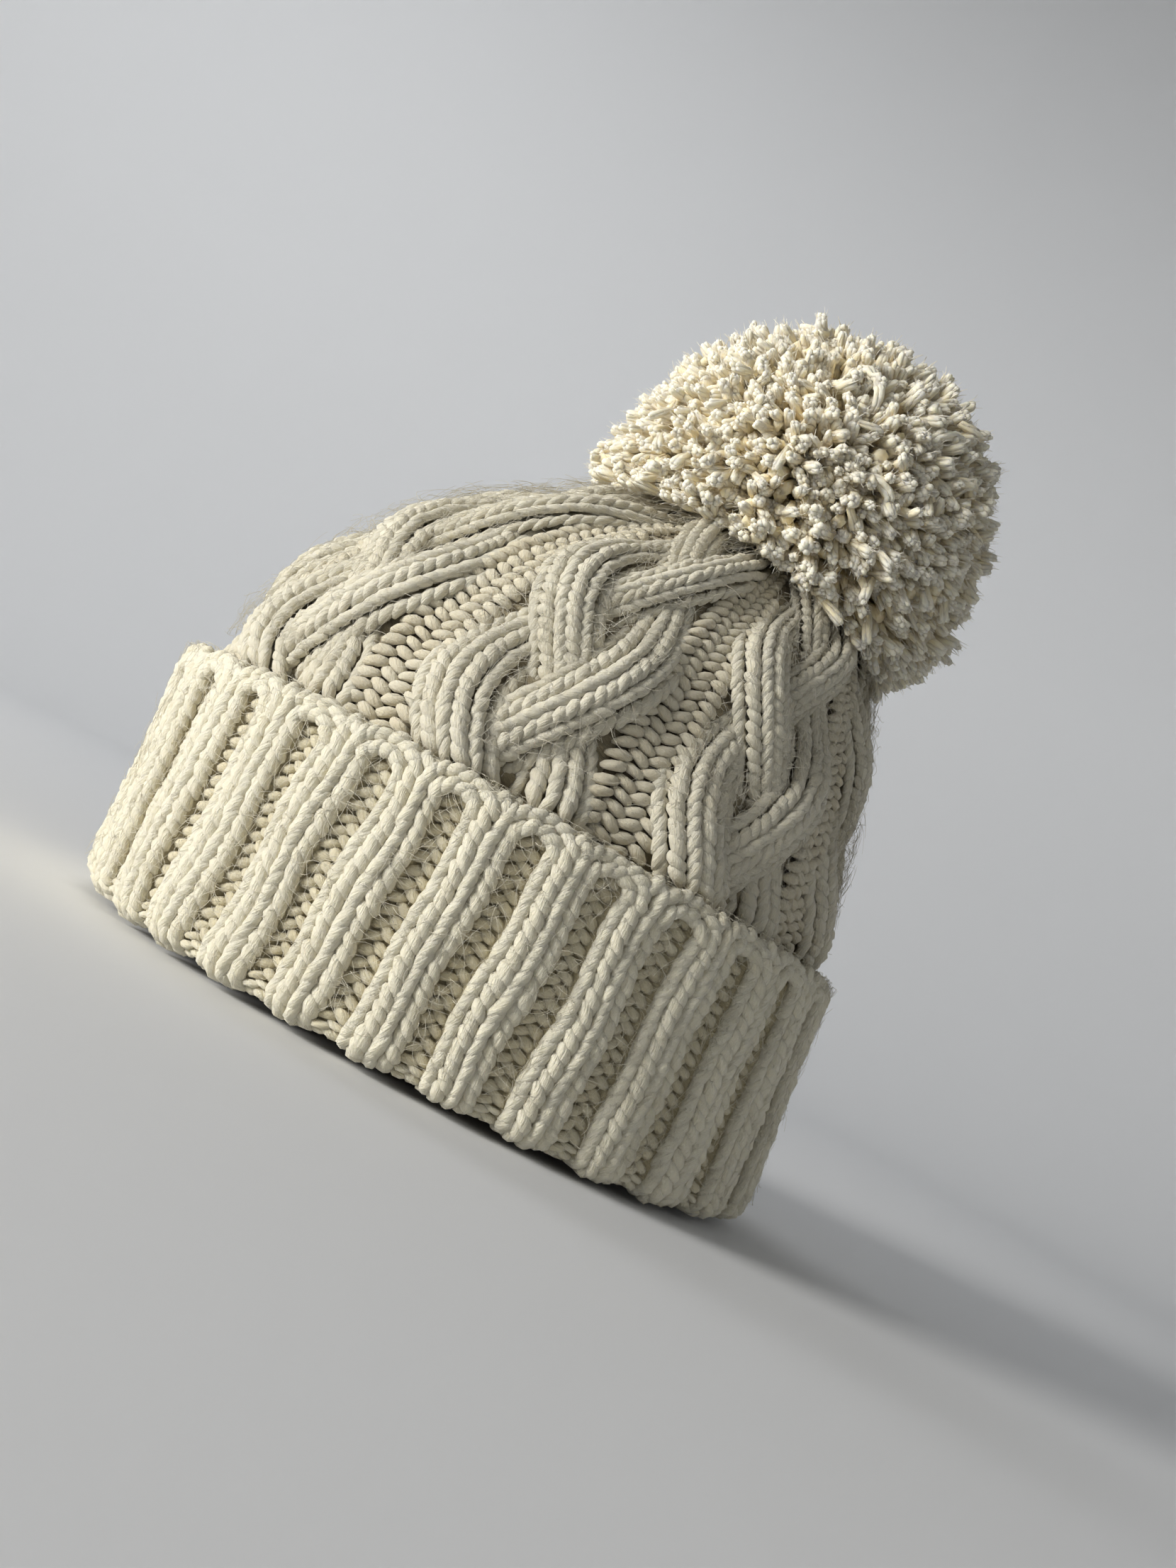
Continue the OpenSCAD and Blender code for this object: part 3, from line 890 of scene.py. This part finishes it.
def end_fibres(path, thick):
    """Fine fibres that fan out of the cut end of every yarn."""
    way = [np.repeat(w, END_FIBRES, 0) for w in outward(path)]
    tip, wide = np.repeat(path[:, -1], END_FIBRES, 0), np.repeat(thick[:, -1], END_FIBRES)[:, None]
    angle = rng.uniform(0, 2 * math.pi, (len(tip), 1))
    side = way[1] * np.cos(angle) + way[2] * np.sin(angle)
    start = tip - way[0] * 2.6 + side * wide * rng.uniform(0.5, 0.9, (len(tip), 1))
    long = rng.uniform(2.4, 4.8, (len(tip), 1))
    middle = start + way[0] * long * 0.6 + side * wide * 0.15
    last = start + way[0] * long + side * rng.uniform(0.0, 1.5, (len(tip), 1))
    fibre = np.stack([start, middle, last], 1)
    fibre[..., 2] = np.minimum(fibre[..., 2], POMPOM_TOP + 2.0)
    return fibre, rng.uniform(0.06, 0.16, (len(tip), 1)) * np.array([1.0, 0.9, 0.4])


def stray_yarns():
    """Longer yarns that have slipped out and lie across the ball."""
    way = ball_directions(200)
    way = way[way[:, 2] > -0.2]
    way = way[rng.permutation(len(way))[:STRAYS]]
    across = rng.normal(0, 1, way.shape)
    across -= np.sum(across * way, 1, keepdims=True) * way
    across /= np.linalg.norm(across, axis=1, keepdims=True)
    twist = np.cross(way, across)
    t = np.linspace(-1, 1, STRAY_RINGS)[None, :, None]
    long = rng.uniform(8, 13, (STRAYS, 1, 1)) / BALL_RADIUS
    curve = rng.choice([-1, 1], (STRAYS, 1, 1)) * rng.uniform(0.04, 0.10, (STRAYS, 1, 1))
    line = way[:, None] + across[:, None] * t * long + twist[:, None] * curve * t ** 2
    line /= np.linalg.norm(line, axis=-1, keepdims=True)
    reach = BALL_RADIUS + BALL_STRETCH * (line @ BALL_LONG_WAY)[..., None] ** 2
    uneven = rng.normal(0, 0.5, (STRAYS, STRAY_RINGS, 1))
    path = BALL + line * (reach - 0.4 - 6.0 * np.abs(t) ** 3 + uneven)
    tangent = np.gradient(path, axis=1)
    tangent /= np.linalg.norm(tangent, axis=-1, keepdims=True)
    over = np.cross(tangent, way[:, None])
    ply = np.arange(STRAY_PLIES)[:, None, None, None]
    angle = np.linspace(0, 4.0, STRAY_RINGS)[None, :, None] + 2 * math.pi * ply / STRAY_PLIES
    plies = path + 0.85 * (over * np.cos(angle) + way[:, None] * np.sin(angle))
    plies = plies.reshape(-1, STRAY_RINGS, 3)
    plies[..., 2] = np.clip(plies[..., 2], SKIRT_LEVEL + 3.0, POMPOM_TOP - 0.5)
    fat = np.array([0.5] + [1.0] * (STRAY_RINGS - 2) + [0.5])
    return plies, np.broadcast_to(0.95 * fat, plies.shape[:2])


def heart(radius, low, high):
    """A rough ball under the yarns that stops the view between them, within two levels."""
    def place(p):
        r = radius + 1.5 * np.sin(7 * p[..., 0] + 3 * p[..., 1]) + 1.2 * np.sin(11 * p[..., 1])
        r = np.where(p[..., 2] > 0.5, r, 6.0)
        q = np.stack([
            BALL[0] + r * np.sin(p[..., 1]) * np.cos(p[..., 0]),
            BALL[1] + r * np.sin(p[..., 1]) * np.sin(p[..., 0]),
            BALL[2] + 2 + r * np.cos(p[..., 1]),
        ], -1)
        q[..., 2] = np.clip(q[..., 2], low, high)
        q[..., 2] = np.maximum(q[..., 2], crown_height(q[..., 0], q[..., 1]) + 5.0)
        return q
    return place


def stays_clear(path):
    """Whether a yarn of the ball stays off the crown when the ball tilts and turns to its limits."""
    tip = path[:, -1]
    reach = np.hypot(tip[:, 0], tip[:, 1] - POMPOM_AXIS)[:, None]
    around = np.arctan2(tip[:, 1] - POMPOM_AXIS, tip[:, 0])[:, None] + np.linspace(-TURN, TURN, 5)
    crown = crown_height(reach * np.cos(around), POMPOM_AXIS + reach * np.sin(around)).max(1)
    return tip[:, 2] > crown + 9.0 + TILT * reach[:, 0]


def build_pompom():
    """The ball in four quarters, and the skirt of low yarns that lies on the crown."""
    outer = pompom_yarns(OUTER_YARNS, 1.0)
    inner = pompom_yarns(INNER_YARNS, INNER_REACH)
    filling, filling_thick, _ = pompom_yarns(FILLING_YARNS, INNER_REACH)
    filling_hangs = (filling[:, -1, 2] < SKIRT_LEVEL) | ~stays_clear(filling)
    # Inner yarns are added only near the skirt's level, where the ball and the skirt overlap.
    level = inner[0][:, -1, 2]
    hidden = np.abs(level - SKIRT_LEVEL) < SKIRT_OVERLAP
    path, thick, painted_shade = [np.concatenate([a, b[hidden]]) for a, b in zip(outer, inner)]
    level = level[hidden]
    # Most of them join the piece beyond the level: the skirt if they end above it, else the ball.
    swap = np.where(level > SKIRT_LEVEL, 1, -1) * (rng.uniform(0, 1, len(level)) < 0.8)
    hangs = path[:, -1, 2] < SKIRT_LEVEL
    hangs[len(outer[0]):] = np.where(swap == 0, hangs[len(outer[0]):], swap > 0)
    hangs |= ~stays_clear(path)
    plies, ply_thick = parted_plies(path, thick)
    fibres, fibre_thick = end_fibres(path, thick)
    strays, stray_thick = stray_yarns()

    def add_yarns(yarn, mine):
        fat = thick[mine, :-1]
        yarn.tubes(path[mine, :-1], fat, fat * 0.9, 6, flat, ACROSS_YARN, painted_shade[mine, :-1], 0.09)
        each = np.repeat(mine, PLIES)
        fat = ply_thick[each]
        # The parted plies fade from painted shade to none at their tips, and the end fibres get no
        # painted shade.
        yarn.tubes(plies[each], fat, fat * 0.85, 5, flat, ACROSS_YARN, [0.75, 0.45, 0.1, -0.08], 0.0)
        each = np.repeat(mine, END_FIBRES)
        fat = fibre_thick[each]
        yarn.tubes(fibres[each], fat, fat, 3, flat, ACROSS_YARN, -0.1, 0.0)

    # The filling yarns inside the ball are painted halfway towards the wool's shade colour, as shade.
    def add_filling(yarn, mine):
        fat = filling_thick[mine]
        yarn.tubes(filling[mine], fat, fat, 6, flat, ACROSS_YARN, 0.55)

    # The heart is painted a little past the wool's shade colour, as the shade deep inside the ball.
    def add_heart(yarn, azimuth, radius, low, high):
        polar = np.linspace(0.001, math.pi - 0.001, 25)
        yarn.slab(azimuth, polar, even(1.0), even(0.0), heart(radius, low, high), 1.1)

    def quarter(point, side, end):
        return (point[:, 0] * side > 0) & ((point[:, 1] - POMPOM_AXIS) * end > 0)

    quarters = (
        ("left", 1, "back", 1), ("right", -1, "back", 1),
        ("right", -1, "front", -1), ("left", 1, "front", -1),
    )
    for turn, (side_name, side, end_name, end) in enumerate(quarters):
        azimuth = (turn + np.linspace(0, 1, 17)) * math.pi / 2
        mine = quarter(path[:, -1], side, end)
        ball = Yarn()
        add_yarns(ball, mine & ~hangs)
        fills = quarter(filling[:, -1], side, end)
        add_filling(ball, fills & ~filling_hangs)
        stray = quarter(strays[:, STRAY_RINGS // 2], side, end)
        ball.tubes(strays[stray], stray_thick[stray], stray_thick[stray], 6, flat, ACROSS_YARN)
        add_heart(ball, azimuth, *BALL_HEART)
        name, node = "pompom_%s_%s_strands" % (side_name, end_name), "pompom_%s_bundle" % side_name
        ball.piece(name, "pompom", "pompom_yarn", pompom_wool, (node,))
        skirt = Yarn()
        add_yarns(skirt, mine & hangs)
        add_filling(skirt, fills & filling_hangs)
        add_heart(skirt, azimuth, *SKIRT_HEART)
        name = "pompom_skirt_%s_%s" % (side_name, end_name)
        piece = skirt.piece(name, None, "pompom_yarn", pompom_wool)
        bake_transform(piece)


def dress_ties():
    """The wool of the CAD nodes that stay: the gather, the knot and the ties inside the pompom."""
    for node in ("gather_yarn", "anchor_knot", "tie_tails", "tie_neck", "waist_tie"):
        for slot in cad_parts[node].material_slots:
            slot.material = tie_wool


# ---------------------------------------------------------------- stage, light and camera

def build_stage():
    """A pale bowl: a flat floor that bends up into a wall. Lengths here are in metres."""
    profile = [(0.0, 0.0), (0.4, 0.0), (0.8, 0.0), (1.3, 0.0)]
    bend_start, bend, wall_top = 1.5, 0.9, 3.2
    for angle in np.linspace(0, math.pi / 2, 12):
        profile.append((bend_start + bend * math.sin(angle), bend - bend * math.cos(angle)))
    profile.append((bend_start + bend, wall_top))
    sides = 72
    points, faces = [], []
    for radius, height in profile:
        for k in range(sides):
            a = 2 * math.pi * k / sides
            points.append((max(radius, 0.001) * math.cos(a), max(radius, 0.001) * math.sin(a), height))
    for i in range(len(profile) - 1):
        for k in range(sides):
            n = (k + 1) % sides
            faces.append((i * sides + k, i * sides + n, (i + 1) * sides + n, (i + 1) * sides + k))
    mesh = bpy.data.meshes.new("studio_bowl")
    mesh.from_pydata(points, [], faces)
    mesh.shade_smooth()
    material = bpy.data.materials.new("studio_paper")
    material.use_nodes = True
    shader = material.node_tree.nodes["Principled BSDF"]
    shader.inputs["Base Color"].default_value = (0.78, 0.79, 0.80, 1)
    shader.inputs["Roughness"].default_value = 0.95
    mesh.materials.append(material)
    bowl = bpy.data.objects.new("studio_bowl", mesh)
    bpy.context.scene.collection.objects.link(bowl)
    # The hat stands on the cuff, so the floor stays under the cuff when it is turned down.
    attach(bowl, "cuff")


def aim(thing, target, up=(0, 0, 1)):
    """Turns a lamp or camera towards a point."""
    back = (thing.location - Vector(target)).normalized()
    right = Vector(up).cross(back).normalized()
    top = back.cross(right)
    turn = Matrix((right, top, back)).transposed()
    thing.rotation_euler = turn.to_euler()


def add_area(name, place, target, size, power, colour):
    """A round lamp that faces a point, with its size in metres and its power in watts."""
    data = bpy.data.lights.new(name, "AREA")
    data.shape = "DISK"
    data.size = size
    data.energy = power
    data.color = colour
    lamp = bpy.data.objects.new(name, data)
    lamp.location = place
    bpy.context.scene.collection.objects.link(lamp)
    aim(lamp, target)


def build_light():
    """A big soft window from the front left, a faint fill and a wash on the wall."""
    add_area("key_window", (0.72, -1.36, 0.40), (0, 0, 0.12), 0.66, 29.5, (1.0, 0.98, 0.95))
    add_area("soft_fill", (1.5, 1.0, 1.1), (0, 0, 0.1), 1.6, 0.5, (0.97, 0.98, 1.0))
    add_area("wall_wash", (-0.6, -0.7, 1.7), (-2.3, -0.5, 0.4), 1.0, 11.5, (0.97, 0.98, 1.0))
    world = bpy.data.worlds.new("soft_room")
    world.use_nodes = True
    world.node_tree.nodes["Background"].inputs["Color"].default_value = (0.94, 0.93, 0.90, 1)
    world.node_tree.nodes["Background"].inputs["Strength"].default_value = 0.055
    bpy.context.scene.world = world
    bpy.context.scene.view_settings.view_transform = "Standard"


def build_camera():
    """The photograph's view of the hat's left side, rolled as the worn hat is tilted."""
    data = bpy.data.cameras.new("camera")
    data.lens = 32.43
    data.sensor_width = 36.0
    data.clip_start = 0.01
    camera = bpy.data.objects.new("camera", data)
    camera.location = (0.430, 0.0119, 0.050)
    bpy.context.scene.collection.objects.link(camera)
    aim(camera, (0, 0.0119, 0.096), (0, -0.4706, 0.8824))
    bpy.context.scene.camera = camera


build_camera()
build_stage()
build_light()
build_cuff()
build_brim()
tracks = strand_tracks()
for number in range(1, CABLES + 1):
    build_braid(number, tracks)
    build_gutter(number)
build_pompom()
dress_ties()
